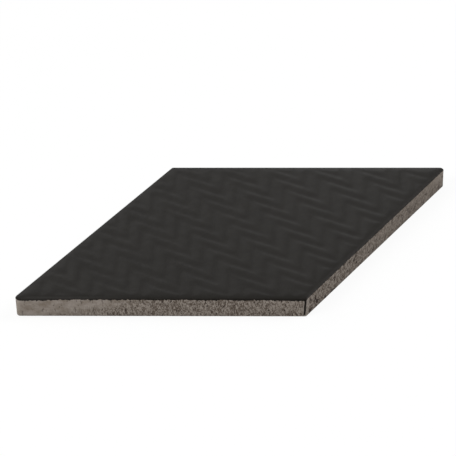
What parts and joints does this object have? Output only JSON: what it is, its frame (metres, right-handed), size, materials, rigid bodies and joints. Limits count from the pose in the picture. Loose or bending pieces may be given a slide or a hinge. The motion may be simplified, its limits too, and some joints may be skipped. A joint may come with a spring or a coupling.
{
  "type": "rhombus mosaic tile",
  "caption": "Rhombus-shaped glazed ceramic tile with a matte black face, a fine raised zigzag relief, bare clay edges and a grooved back.",
  "frame": {"origin": "centre of the tile's outline, in the plane of its back", "axes": "+X along the long diagonal, +Y along the short diagonal, +Z out of the glazed face"},
  "size_m": [0.2384, 0.1396, 0.0106],
  "materials": {
    "glazed_clay": "matte black glaze on the face and its rounded edge, bare grey-brown fired clay on the sides and back"
  },
  "bodies": {
    "root": {"rhombus_tile": "glazed_clay"}
  },
  "joints": []
}
